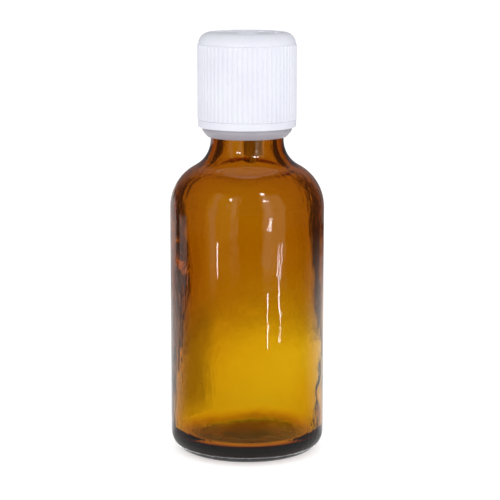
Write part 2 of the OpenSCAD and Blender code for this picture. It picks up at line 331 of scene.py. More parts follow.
def helix(name: str, section: Outline, radius: float, foot: float, pitch: float, turns: float,
          start: float, per_turn: int = 64) -> Piece:
    """A thread: a section wound up a right-handed helix, fading at both ends.

    Args:
        name: the new piece's name.
        section: places out of the wall and heights, in mm, the first and last inside the wall.
        radius: the wall's radius in mm.
        foot: height of the thread's lower end in mm.
        pitch: rise per turn in mm.
        turns: length of the thread in turns.
        start: angle of the lower end in degrees.
        per_turn: columns in a turn.

    Returns:
        The closed thread.
    """
    piece = draw(name, [(radius + out, foot + height) for out, height in [*section, section[0]]])
    with editing(piece):
        bpy.ops.mesh.remove_doubles(threshold=MERGE)
    only(piece)
    rings = round(per_turn * turns)
    screw = piece.modifiers.new("screw", "SCREW")
    screw.axis = "Z"
    screw.angle = FULL * turns
    screw.screw_offset = pitch * turns * MM
    screw.steps = screw.render_steps = rings
    screw.use_merge_vertices = False
    bpy.ops.object.modifier_apply(modifier=screw.name)
    low, high = foot + pitch / 2, foot + pitch * (turns - 0.5)
    tip_share, beside = 0.15, 0.02
    with editing(piece):
        for is_end in (lambda p: p.z < low, lambda p: p.z > high):
            pick(piece, is_end, Element.EDGE)
            bpy.ops.mesh.edge_face_add()
        fade = per_turn // 8
        for k in range(fade):
            share = max(tip_share, k / fade)
            for ring in (k, rings - k):
                turn = FULL * ring / per_turn
                way = Vector((math.cos(turn), math.sin(turn), 0))
                centre = way * radius + Vector((0, 0, foot + pitch * ring / per_turn))
                pick(piece, lambda p: abs(p.z - centre.z) < pitch / 2 and p.dot(way) > 0
                     and abs(p.x * way.y - p.y * way.x) < beside)
                bpy.ops.transform.resize(value=(share, share, share), center_override=centre * MM)
        bpy.ops.mesh.select_all(action="SELECT")
        bpy.ops.mesh.normals_make_consistent(inside=False)
        bpy.ops.transform.rotate(value=-math.radians(start), orient_axis="Z",
                                 orient_type="GLOBAL", center_override=(0, 0, 0))
    return piece


def hand_over(piece: Piece, body: str, node: str) -> None:
    """Puts a finished piece in its CAD node's place and reports it.

    Args:
        piece: the finished piece.
        body: the CAD body that it moves with.
        node: the CAD node that it stands for.
    """
    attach(piece, body)
    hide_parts(node)
    LOG.info("%s: %d vertices, %d faces", piece.name, len(piece.data.vertices), len(piece.data.polygons))


# ------------------------------------------------------------------ finishes

def linear(colour: str) -> tuple[float, float, float, float]:
    """Turns an sRGB hex colour to linear red, green, blue and alpha."""
    parts = [int(colour[k:k + 2], 16) / 255 for k in (1, 3, 5)]
    flat = [p / 12.92 if p <= 0.04045 else ((p + 0.055) / 1.055) ** 2.4 for p in parts]
    return (flat[0], flat[1], flat[2], 1.0)


def add_node(tree: bpy.types.NodeTree, kind: str, sockets: dict | None = None, **settings) -> bpy.types.Node:
    """Adds a node with its settings and links.

    Args:
        tree: the material's node tree.
        kind: the node's type.
        sockets: for each input, a value, or the output socket that it is linked to.
        **settings: the node's own properties.

    Returns:
        The node.
    """
    node = tree.nodes.new(kind)
    for name, value in settings.items():
        setattr(node, name, value)
    for name, value in (sockets or {}).items():
        if isinstance(value, bpy.types.NodeSocket):
            tree.links.new(value, node.inputs[name])
        else:
            node.inputs[name].default_value = value
    return node


def new_material(name: str) -> bpy.types.Material:
    """An empty node material."""
    material = bpy.data.materials.new(name)
    material.use_nodes = True
    material.node_tree.nodes.clear()
    return material


@dataclass(frozen=True)
class AmberGlass:
    """Amber soda-lime container glass, blown in a polished mould.

    The mould leaves slow waves in the surface, which break its highlights into streaks, and the
    colour comes from the glass's own depth: thin wall is golden, thick wall is brown to black.
    """

    name: str = "amber_soda_lime_glass"
    ior: float = 1.52
    roughness: float = 0.012
    depth_colour: str = "#f7eb18"
    depth_density: float = 2000.0
    wave_mm: float = 5.0
    wave_depth_mm: float = 0.03
    pucker_mm: float = 1.3
    pucker_share: float = 3.0
    patch_mm: float = 11.0
    smudge_mm: float = 9.0

    def make(self) -> bpy.types.Material:
        """Returns the material."""
        material = new_material(self.name)
        tree = material.node_tree
        place = add_node(tree, "ShaderNodeTexCoord").outputs["Object"]
        stretched = add_node(tree, "ShaderNodeMapping", {"Vector": place, "Scale": (1, 1, 0.35)})
        waves = add_node(tree, "ShaderNodeTexNoise", {
            "Vector": stretched.outputs["Vector"], "Scale": 1 / (self.wave_mm * MM),
            "Detail": 3.0, "Roughness": 0.45,
        })
        puckers = add_node(tree, "ShaderNodeTexNoise", {
            "Vector": stretched.outputs["Vector"], "Scale": 1 / (self.pucker_mm * MM), "Detail": 2.0,
        })
        patches = add_node(tree, "ShaderNodeTexNoise", {
            "Vector": place, "Scale": 1 / (self.patch_mm * MM),
        })
        patch = add_node(tree, "ShaderNodeMapRange", {
            "Value": patches.outputs["Fac"], "From Min": 0.44, "From Max": 0.6, "To Max": self.pucker_share,
        })
        height = add_node(tree, "ShaderNodeMath", {
            0: puckers.outputs["Fac"], 1: patch.outputs["Result"], 2: waves.outputs["Fac"],
        }, operation="MULTIPLY_ADD")
        bump = add_node(tree, "ShaderNodeBump", {
            "Height": height.outputs[0], "Strength": 1.0, "Distance": self.wave_depth_mm * MM,
        })
        smudges = add_node(tree, "ShaderNodeTexNoise", {
            "Vector": place, "Scale": 1 / (self.smudge_mm * MM), "Detail": 5.0, "Roughness": 0.6,
        })
        gloss = add_node(tree, "ShaderNodeMapRange", {
            "Value": smudges.outputs["Fac"], "From Min": 0.35, "From Max": 0.75,
            "To Min": 0.0, "To Max": 2.5 * self.roughness,
        })
        shader = add_node(tree, "ShaderNodeBsdfPrincipled", {
            "Base Color": (1, 1, 1, 1), "IOR": self.ior, "Transmission Weight": 1.0,
            "Roughness": gloss.outputs["Result"], "Normal": bump.outputs["Normal"],
        })
        depth = add_node(tree, "ShaderNodeVolumeAbsorption", {
            "Color": linear(self.depth_colour), "Density": self.depth_density,
        })
        add_node(tree, "ShaderNodeOutputMaterial", {
            "Surface": shader.outputs["BSDF"], "Volume": depth.outputs["Volume"],
        })
        return material


@dataclass(frozen=True)
class MouldedPlastic:
    """Opaque injection-moulded plastic: polypropylene or polyethylene.

    A polished mould with fine spark-eroded texture gives it a soft sheen, slow flow marks and
    a little depth, as light enters its surface and leaves it close by.
    """

    name: str
    colour: str
    deep_colour: str
    roughness: float = 0.36
    ior: float = 1.49
    grain_mm: float = 0.18
    grain_depth_mm: float = 0.006
    flow_mm: float = 7.0
    bleed: float = 0.12
    bleed_mm: float = 0.6

    def make(self) -> bpy.types.Material:
        """Returns the material."""
        material = new_material(self.name)
        tree = material.node_tree
        place = add_node(tree, "ShaderNodeTexCoord").outputs["Object"]
        flow = add_node(tree, "ShaderNodeTexNoise", {
            "Vector": place, "Scale": 1 / (self.flow_mm * MM), "Detail": 3.0, "Roughness": 0.5,
        })
        tint = add_node(tree, "ShaderNodeMapRange", {
            "Value": flow.outputs["Fac"], "From Min": 0.3, "From Max": 0.7,
        })
        colour = add_node(tree, "ShaderNodeMix", {
            "Factor": tint.outputs["Result"],
        }, data_type="RGBA")
        colour.inputs[6].default_value = linear(self.colour)
        colour.inputs[7].default_value = linear(self.deep_colour)
        grain = add_node(tree, "ShaderNodeTexNoise", {
            "Vector": place, "Scale": 1 / (self.grain_mm * MM), "Detail": 2.0, "Roughness": 0.6,
        })
        gloss = add_node(tree, "ShaderNodeMapRange", {
            "Value": flow.outputs["Fac"], "From Min": 0.3, "From Max": 0.7,
            "To Min": self.roughness - 0.05, "To Max": self.roughness + 0.07,
        })
        bump = add_node(tree, "ShaderNodeBump", {
            "Height": grain.outputs["Fac"], "Strength": 1.0, "Distance": self.grain_depth_mm * MM,
        })
        shader = add_node(tree, "ShaderNodeBsdfPrincipled", {
            "Base Color": colour.outputs[2], "IOR": self.ior,
            "Roughness": gloss.outputs["Result"], "Normal": bump.outputs["Normal"],
            "Subsurface Weight": self.bleed, "Subsurface Radius": (1.0, 0.95, 0.9),
            "Subsurface Scale": self.bleed_mm * MM,
        })
        add_node(tree, "ShaderNodeOutputMaterial", {"Surface": shader.outputs["BSDF"]})
        return material


OUTER_WHITE = MouldedPlastic("white_polypropylene_outer", "#edeff9", "#e8e9f4")
INNER_WHITE = MouldedPlastic("white_polyethylene_inner", "#f1f1f4", "#e8e8ee", roughness=0.42)
# The ring is white polypropylene. Its grey colour is painted shade for the shadow it lies in under the cap.
RING_WHITE_PAINTED_SHADE = MouldedPlastic("white_polypropylene_ring_painted_shade", "#b5b1ba", "#aca8b2", roughness=0.33)
INSERT_MILKY = MouldedPlastic("natural_ldpe_insert", "#f1efe6", "#e6e3d6", roughness=0.28,
                              bleed=0.5, bleed_mm=1.2)


# ------------------------------------------------------------------ glass

@dataclass
class GlassBottle:
    """The moulded glass vessel, from its bearing ring to the lip. Sizes in mm."""

    columns: int = 192
    body_r: float = 18.5
    height: float = 93.2
    body_top: float = 59.7
    shoulder_r: float = 11.1
    waist_r: float = 7.2
    heel_r: float = 4.8
    bearing_in: float = 11.4
    push_up: float = 1.2
    push_up_flat: float = 5.0
    neck_r: float = 8.75
    bead_r: float = 9.35
    bead_z: float = 78.15
    bead_flat: float = 0.55
    bead_slope: float = 0.95
    root_r: float = 7.95
    lip_r: float = 0.7
    bore_r: float = 5.8
    bore_edge: float = 0.5
    inner_waist_r: float = 10.0
    floor_z: float = 4.1
    inner_heel_r: float = 2.4
    dome: float = 2.0
    floor_edge_r: float = 12.5
    thin_wall: float = 1.65
    thick_wall: float = 2.8
    thin_top: float = 23.0
    thick_foot: float = 47.0
    shift: float = 0.5
    thread_out: float = 0.95
    pitch: float = 3.0
    thread_turns: float = 1.75
    thread_drop: float = 3.0
    ripple: float = 0.35
    ripple_size: float = 9.0
    skin_ripple: float = 0.05
    skin_ripple_size: float = 7.0
    skin: float = 0.84
    skin_lean: float = 0.9
    finish: AmberGlass = field(default_factory=AmberGlass)

    def shoulder(self, wall: float, neck: float, waist: float, steps: int) -> Outline:
        """The curve from the body's top over the shoulder to the neck.

        Args:
            wall: radius of the body at its top.
            neck: radius of the neck.
            waist: radius of the hollow curve under the neck.
            steps: parts of each of the two arcs.

        Returns:
            Points from the body to the neck.
        """
        centre_x = self.body_r - self.shoulder_r
        round_r = wall - centre_x
        across = neck + waist - centre_x
        up = math.sqrt((round_r + waist) ** 2 - across ** 2)
        tangent = math.degrees(math.atan2(up, across))
        return [
            *arc((centre_x, self.body_top), round_r, 0, tangent, steps),
            *arc((neck + waist, self.body_top + up), waist, 180 + tangent, 180, steps)[1:],
        ]

    def wall_inside(self, z: float) -> float:
        """Radius of the inner wall at a height: the wall is thicker above than below."""
        share = min(1.0, max(0.0, (z - self.thin_top) / (self.thick_foot - self.thin_top)))
        share = share * share * (3 - 2 * share)
        return self.body_r - self.thin_wall - (self.thick_wall - self.thin_wall) * share

    def outside(self) -> Outline:
        """The outer section, from the middle of the base to the lip."""
        arch_w = self.bearing_in - self.push_up_flat
        arch_r = (arch_w ** 2 + self.push_up ** 2) / (2 * self.push_up)
        arch_end = math.degrees(math.asin(arch_w / arch_r))
        heel_x = self.body_r - self.heel_r
        bead_top = self.bead_z + self.bead_flat + self.bead_slope
        return [
            *run((0, self.push_up), (self.push_up_flat, self.push_up), 10),
            *arc((self.push_up_flat, self.push_up - arch_r), arch_r, 90, 90 - arch_end, 12)[1:-1],
            (self.bearing_in, 0.06), (self.bearing_in + 0.35, 0.0),
            *run((self.bearing_in + 0.35, 0.0), (heel_x, 0.0), 5)[1:],
            *arc((heel_x, self.heel_r), self.heel_r, -90, 0, 18)[1:],
            *run((self.body_r, self.heel_r), (self.body_r, self.body_top), 44)[1:],
            *self.shoulder(self.body_r, self.neck_r, self.waist_r, 14)[1:],
            (self.neck_r, self.bead_z - 0.25),
            *arc((self.neck_r + 0.2, self.bead_z - 0.2), 0.2, 180, 90, 3),
            *arc((self.bead_r - 0.15, self.bead_z + 0.15), 0.15, -90, 0, 3),
            *arc((self.bead_r - 0.15, self.bead_z + self.bead_flat), 0.15, 0, 45, 2),
            *arc((self.root_r + 0.35, bead_top + 0.15), 0.35, 235, 180, 3),
            *run((self.root_r, bead_top + 0.15), (self.root_r, self.height - self.lip_r), 10)[1:],
            *arc((self.root_r - self.lip_r, self.height - self.lip_r), self.lip_r, 0, 90, 6)[1:],
        ]

    def inside(self) -> Outline:
        """The inner section, from the lip down to the middle of the floor."""
        edge = self.bore_edge
        over = self.shoulder(self.body_r - self.thick_wall, self.bore_r, self.inner_waist_r, 14)
        heights = [self.body_top - k * 1.25 for k in range(1, 41)]
        floor_x = self.wall_inside(self.floor_z) - self.inner_heel_r
        low = self.floor_z + self.inner_heel_r
        return [
            *arc((self.bore_r + edge, self.height - edge), edge, 90, 180, 5),
            *run((self.bore_r, self.height - edge), over[-1], 8)[1:-1],
            *over[::-1],
            *[(self.wall_inside(z), z) for z in heights if z > low + 0.5],
            *arc((floor_x, low), self.inner_heel_r, 0, -90, 12),
            *[(floor_x * (1 - k / 14), self.floor_z + self.dome * (1 - math.cos(math.pi * k / 14)) / 2)
              for k in range(1, 15)],
        ]

    def build(self) -> Piece:
        """Returns the finished vessel."""
        piece = turned("glass_bottle", [*self.outside(), *self.inside()], self.columns)
        self.shift_cavity(piece)
        self.ripple_walls(piece)
        self.mark_base(piece)
        self.add_thread(piece)
        finish_mesh(piece, 50)
        piece.data.materials.append(self.finish.make())
        hand_over(piece, "vial", "bottle")
        return piece

    def in_cavity(self, place: Vector) -> bool:
        """Whether a place on the mesh belongs to the inner wall of the body or the floor."""
        above = max(0.0, place.z - self.body_top)
        reach = self.body_r - self.skin - self.skin_lean * above
        return self.floor_z - 0.01 < place.z < self.body_top + 9 and radius_of(place) < reach

    def shift_cavity(self, piece: Piece) -> None:
        """Moves the cavity off the axis, so that one side's wall is thinner, as in blown glass."""
        first, last = int(self.floor_z + self.inner_heel_r), int(self.thick_foot) + 6
        with editing(piece):
            for ring in range(first, last):
                aside = self.shift * math.sin(math.pi * (ring - first) / (self.thick_foot + 2)) * MM
                pick(piece, lambda p: ring <= p.z < ring + 1 and self.in_cavity(p)
                     and self.floor_edge_r < radius_of(p) < self.body_r - 0.5)
                bpy.ops.transform.translate(value=(aside, -0.3 * aside, 0))

    def ripple_walls(self, piece: Piece) -> None:
        """Gives the inner wall the slow waves of blown glass, and the outer wall faint ones."""
        for name, depth, size, wanted in (
            ("inner_waves", self.ripple, self.ripple_size,
             lambda p: self.in_cavity(p) and p.z > self.floor_z + 0.8
             and (p.z > self.thick_foot or radius_of(p) > self.floor_edge_r)),
            ("outer_waves", self.skin_ripple, self.skin_ripple_size,
             lambda p: self.heel_r < p.z < self.body_top + 6 and not self.in_cavity(p)),
        ):
            group = piece.vertex_groups.new(name=name)
            group.add([v.index for v in piece.data.vertices if wanted(v.co / MM)], 1.0, "REPLACE")
            clouds = bpy.data.textures.new(name, "CLOUDS")
            clouds.noise_scale = size * MM
            clouds.noise_depth = 2
            only(piece)
            waves = piece.modifiers.new(name, "DISPLACE")
            waves.texture = clouds
            waves.texture_coords = "LOCAL"
            waves.vertex_group = name
            waves.strength = depth * MM
            waves.mid_level = 0.5
            bpy.ops.object.modifier_apply(modifier=waves.name)

    def mark_base(self, piece: Piece) -> None:
        """Raises plain mould marks under the base and cuts the grip lines of the bearing ring."""
        marks = [(208, 212), (216, 219), (224, 232), (238, 241), (246, 249),
                 (284, 289), (293, 296), (301, 309)]
        with editing(piece):
            pick(piece, lambda p: p.z < 1.3 and 6.6 < radius_of(p) < 8.9
                 and any(a < angle_of(p) < b for a, b in marks), Element.FACE)
            bpy.ops.mesh.inset(thickness=0.16 * MM, depth=0.45 * MM)
            step = 360 / self.columns
            pick(piece, lambda p: p.z < 0.03 and 12 < radius_of(p) < 13.7
                 and int(angle_of(p) / step) % 3 == 0, Element.FACE)
            bpy.ops.mesh.inset(thickness=0.06 * MM, use_individual=True)
            bpy.ops.transform.translate(value=(0, 0, 0.1 * MM))

    def add_thread(self, piece: Piece) -> None:
        """Winds the closure's thread round the neck."""
        width = 0.57 * self.pitch
        out = self.thread_out
        rounded = [
            (out * math.sin(math.pi * k / 8) ** 0.8, width * (k / 8 - 0.5)) for k in range(1, 8)
        ]
        section = [(-0.3, -width / 2), *rounded, (-0.3, width / 2)]
        foot = self.height - self.thread_drop - self.pitch * self.thread_turns
        thread = helix("glass_thread", section, self.root_r, foot, self.pitch, self.thread_turns, 0)
        combine(piece, thread, Boolean.ADD)


# ------------------------------------------------------------------ insert

@dataclass
class DropperInsert:
    """The plug pressed into the mouth, with its air tube, drop nozzle and fine ways. Sizes in mm."""

    columns: int = 96
    rim_z: float = 93.2
    flange_r: float = 7.4
    flange_t: float = 0.8
    plug_r: float = 5.68
    plug_l: float = 8.6
    plug_wall: float = 1.0
    plug_floor: float = 0.9
    seal_r: float = 5.79
    seal_gap: float = 2.3
    tube_x: float = 1.4
    tube_r: float = 2.25
    tube_l: float = 21.6
    tube_wall: float = 0.75
    tip_l: float = 2.5
    tip_r: float = 0.95
    tip_end_r: float = 0.6
    nozzle_r: float = 1.9
    nozzle_h: float = 2.6
    nozzle_lip: float = 0.2
    nozzle_bore_r: float = 0.7
    vent_r: float = 0.3
    vent_x: float = 2.5
    way_r: float = 0.45
    way_x: float = -1.45
    finish: MouldedPlastic = INSERT_MILKY

    def plug_section(self) -> Outline:
        """The section of flange, plug and nozzle, from the drop way's top round to its foot."""
        top = self.rim_z + self.flange_t
        end = self.rim_z + self.nozzle_h
        foot = self.rim_z - self.plug_l
        ceiling = self.rim_z - self.plug_floor
        inner = self.plug_r - self.plug_wall
        seals: Outline = []
        for k in (2, 1, 0):
            z = foot + 1.2 + self.seal_gap * k
            bead = arc((self.plug_r, z + 0.25), self.seal_r - self.plug_r, 90, -90, 6)
            seals += [(self.plug_r, z + 0.55), *bead, (self.plug_r, z - 0.05)]
        return [
            (self.nozzle_bore_r, ceiling + 0.7),
            (self.nozzle_bore_r, end - 0.25), (self.nozzle_bore_r + 0.2, end - 0.04),
            (self.nozzle_bore_r + 0.35, end), (self.nozzle_r - 0.05, end),
            *arc((self.nozzle_r, end - 0.2), self.nozzle_lip, 75, -60, 6),
            (self.nozzle_r - 0.02, end - 0.5),
            *arc((self.nozzle_r + 0.4, top + 0.4), 0.4, 180, 270, 5),
            (self.flange_r - 0.2, top), *arc((self.flange_r - 0.2, top - 0.2), 0.2, 90, 0, 4)[1:],
            (self.flange_r, self.rim_z + 0.1), (self.flange_r - 0.08, self.rim_z + 0.02),
            (self.plug_r, self.rim_z + 0.02), *seals,
            (self.plug_r, foot + 0.5), (self.plug_r - 0.3, foot), (inner + 0.15, foot), (inner, foot + 0.15),
            (inner, ceiling - 0.4), *arc((inner - 0.4, ceiling - 0.4), 0.4, 0, 90, 4)[1:],
            (0.9, ceiling), (0.0, ceiling), (0.0, ceiling + 0.7), (self.nozzle_bore_r, ceiling + 0.7),
        ]

    def tube_section(self) -> Outline:
        """The air tube's wall, round its own axis."""
        top = self.rim_z - self.plug_floor + 0.2
        low = self.rim_z - self.tube_l
        tip = low - self.tip_l
        hole = self.tube_r - self.tube_wall
        return [
            (hole, top), (self.tube_r, top), (self.tube_r, low + 0.35), (self.tube_r - 0.35, low),
            (self.tip_r + 0.25, low), *run((self.tip_r, low - 0.25), (self.tip_end_r, tip + 0.1), 3),
            (self.tip_end_r - 0.1, tip), (self.vent_r + 0.05, tip), (self.vent_r, tip + 0.05),
            (self.vent_r, low + 0.9), (hole - 0.3, low + 1.1), (hole, low + 1.4), (hole, top),
        ]

    def build(self) -> Piece:
        """Returns the finished insert."""
        piece = turned("polyethylene_dropper", self.plug_section(), self.columns)
        tube = turned("air_tube", self.tube_section(), 48, self.tube_x)
        combine(piece, tube, Boolean.ADD)
        top = self.rim_z + self.flange_t
        for name, x, radius, low, high in (
            ("air_way", self.vent_x, self.vent_r, self.rim_z - 2, top + 1),
            ("liquid_way", self.way_x, self.way_r, self.rim_z - 2, top - 0.45),
        ):
            deselect_all()
            bpy.ops.mesh.primitive_cylinder_add(
                vertices=32, radius=radius * MM, depth=(high - low) * MM,
                location=(x * MM, 0, (high + low) / 2 * MM))
            drill = bpy.context.object
            drill.name = name
            combine(piece, drill, Boolean.CUT)
        finish_mesh(piece, 35)
        piece.data.materials.append(self.finish.make())
        hand_over(piece, "vial", "dropper_insert")
        return piece


# ------------------------------------------------------------------ closure

@dataclass
class TamperRing:
    """The ring that stays under the glass bead, with the stubs of its broken bridges. Sizes in mm."""

    columns: int = 160
    outer_r: float = 10.7
    bore_r: float = 9.57
    lip_r: float = 8.95
    foot_z: float = 76.6
    height: float = 3.0
    bead_z: float = 78.15
    foot_in: float = 1.3
    bridges: int = 8
    bridge_w: float = 0.7
    # white plastic whose colour holds painted shade from the cap above
    finish: MouldedPlastic = RING_WHITE_PAINTED_SHADE

    def section(self) -> Outline:
        """The ring's section: outer face, cone, foot, inner lip and bore."""
        top = self.foot_z + self.height
        foot_r = self.outer_r - self.foot_in
        return [
            (self.bore_r + 0.1, top), (self.outer_r - 0.12, top), (self.outer_r, top - 0.12),
            (self.outer_r, self.foot_z + 1.75), (self.outer_r - 0.05, self.foot_z + 1.45),
            (self.outer_r - 0.2, self.foot_z + 1.2),
            *run((self.outer_r - 0.2, self.foot_z + 1.2), (foot_r + 0.12, self.foot_z + 0.1), 4)[1:],
            (foot_r - 0.05, self.foot_z), (self.lip_r + 0.25, self.foot_z),
            (self.lip_r + 0.06, self.foot_z + 0.08), (self.lip_r, self.foot_z + 0.25),
            (self.lip_r, self.bead_z - 0.4), (self.lip_r + 0.1, self.bead_z - 0.31),
            (self.bore_r - 0.1, self.bead_z - 0.13), (self.bore_r, self.bead_z),
            (self.bore_r, top - 0.1), (self.bore_r + 0.1, top),
        ]

    def build(self) -> Piece:
        """Returns the finished ring."""
        piece = turned("tamper_band", self.section(), self.columns)
        top = self.foot_z + self.height
        half = self.bridge_w / 2
        stub = bar("bridge_stub", [(-half, top - 0.3), (half, top - 0.3), (half - 0.12, top + 0.34),
                                   (-half + 0.12, top + 0.34), (-half, top - 0.3)],
                   self.bore_r + 0.22, self.bore_r + 0.68, 0.05)
        join(piece, copies_round(stub, self.bridges))
        finish_mesh(piece, 35)
        piece.data.materials.append(self.finish.make())
        hand_over(piece, "ring", "tamper_ring")
        return piece


@dataclass
class InnerCap:
    """The threaded inner cap with its seal, pin and drive teeth. Sizes in mm."""

    columns: int = 160
    foot_z: float = 80.0
    outer_r: float = 10.3
    wall: float = 1.05
    under_z: float = 96.1
    top_z: float = 97.1
    snap_z: float = 82.7
    snap_out: float = 0.4
    seal_r: float = 5.9
    seal_t: float = 0.9
    seat_z: float = 94.02
    pin_r: float = 0.58
    pin_foot: float = 94.7
    ridge_r: float = 8.35
    pitch: float = 3.0
    ridge_turns: float = 1.5
    ridge_start: float = 90.0
    ridge_z: float = 84.545
    teeth: int = 12
    tooth_in: float = 7.1
    tooth_out: float = 9.6
    tooth_w: float = 1.6
    tooth_h: float = 1.47
    finish: MouldedPlastic = INNER_WHITE

    def section(self) -> Outline:
        """The cap's section from the middle of its top, down its skirt and back under its top."""
        bore = self.outer_r - self.wall
        snap = self.outer_r + self.snap_out
        under = self.under_z
        return [
            (0, self.top_z), *run((0, self.top_z), (self.outer_r - 0.6, self.top_z), 4)[1:],
            *arc((self.outer_r - 0.6, self.top_z - 0.6), 0.6, 90, 0, 5)[1:],
            (self.outer_r, self.snap_z + 1.1), (self.outer_r + 0.05, self.snap_z + 0.98),
            (snap - 0.06, self.snap_z + 0.56), (snap, self.snap_z + 0.45), (snap, self.snap_z + 0.08),
            (snap - 0.08, self.snap_z), (self.outer_r, self.snap_z), (self.outer_r, self.foot_z + 0.12),
            (self.outer_r - 0.12, self.foot_z), (bore + 0.2, self.foot_z), (bore, self.foot_z + 0.2),
            (bore, under - 0.4), *arc((bore - 0.4, under - 0.4), 0.4, 0, 90, 4)[1:],
            (self.seal_r, under), (self.seal_r, self.seat_z + 0.12), (self.seal_r - 0.15, self.seat_z),
            (self.seal_r - self.seal_t + 0.15, self.seat_z), (self.seal_r - self.seal_t, self.seat_z + 0.12),
            (self.seal_r - self.seal_t, under), (self.pin_r + 0.25, under), (self.pin_r, under - 0.25),
            (self.pin_r, self.pin_foot + 0.2), (self.pin_r - 0.2, self.pin_foot), (0, self.pin_foot),
        ]

    def build(self) -> Piece:
        """Returns the finished inner cap."""
        piece = turned("inner_closure", self.section(), self.columns)
        bore = self.outer_r - self.wall
        out = self.ridge_r - bore
        root, tip = 0.43 * self.pitch / 2, 0.23 * self.pitch / 2
        ridge_section = [(0.3, root), (out * 0.8, tip + 0.08), (out, tip - 0.08),
                         (out, -tip + 0.08), (out * 0.8, -tip - 0.08), (0.3, -root)]
        ridge = helix("closure_thread", ridge_section, bore, self.ridge_z, self.pitch,
                      self.ridge_turns, self.ridge_start)
        combine(piece, ridge, Boolean.ADD)
        half = self.tooth_w / 2
        top = self.top_z
        end_view = [(-half, top - 0.2), (half, top - 0.2), (half, top + self.tooth_h),
                    (-self.tooth_w / 8, top + self.tooth_h), (-half, top), (-half, top - 0.2)]
        tooth = bar("drive_tooth", end_view, self.tooth_in, self.tooth_out, 0.08)
        join(piece, copies_round(tooth, self.teeth))
        finish_mesh(piece, 35)
        piece.data.materials.append(self.finish.make())
        hand_over(piece, "cap_core", "inner_cap")
        return piece


@dataclass
class SpringTongues:
    """The leaning tongues under the outer cap's top that lift it off the teeth. Sizes in mm."""

    columns: int = 72
    foot_z: float = 97.12
    top_z: float = 100.27
    inner_r: float = 3.3
    outer_r: float = 6.3
    plate_t: float = 0.5
    count: int = 6
    tongue_t: float = 0.5
    lean: float = 1.9
    keep: float = 0.53
    finish: MouldedPlastic = OUTER_WHITE

    def build(self) -> Piece:
        """Returns the finished spring."""
        low = self.top_z - self.plate_t
        piece = turned("press_spring", [
            (self.inner_r, low + 0.08), (self.inner_r, self.top_z), (self.outer_r, self.top_z),
            (self.outer_r, low + 0.08), (self.outer_r - 0.08, low), (self.inner_r + 0.08, low),
            (self.inner_r, low + 0.08)], self.columns)
        half = self.lean / 2
        tall = low + 0.3
        knee_x, knee_z = -half * 0.35, (tall + self.foot_z) / 2 + 0.3
        end_view = [(-half, tall), (knee_x, knee_z), (half, self.foot_z),
                    (half + self.tongue_t, self.foot_z), (knee_x + self.tongue_t, knee_z),
                    (-half + self.tongue_t, tall), (-half, tall)]
        tongue = bar("tongue", end_view, self.inner_r + 0.4, self.outer_r - 0.2, 0.05)
        join(piece, copies_round(tongue, self.count))
        finish_mesh(piece, 35)
        piece.data.materials.append(self.finish.make())
        hand_over(piece, "cap_spring", "spring_tongues")
        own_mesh(piece)
        return piece


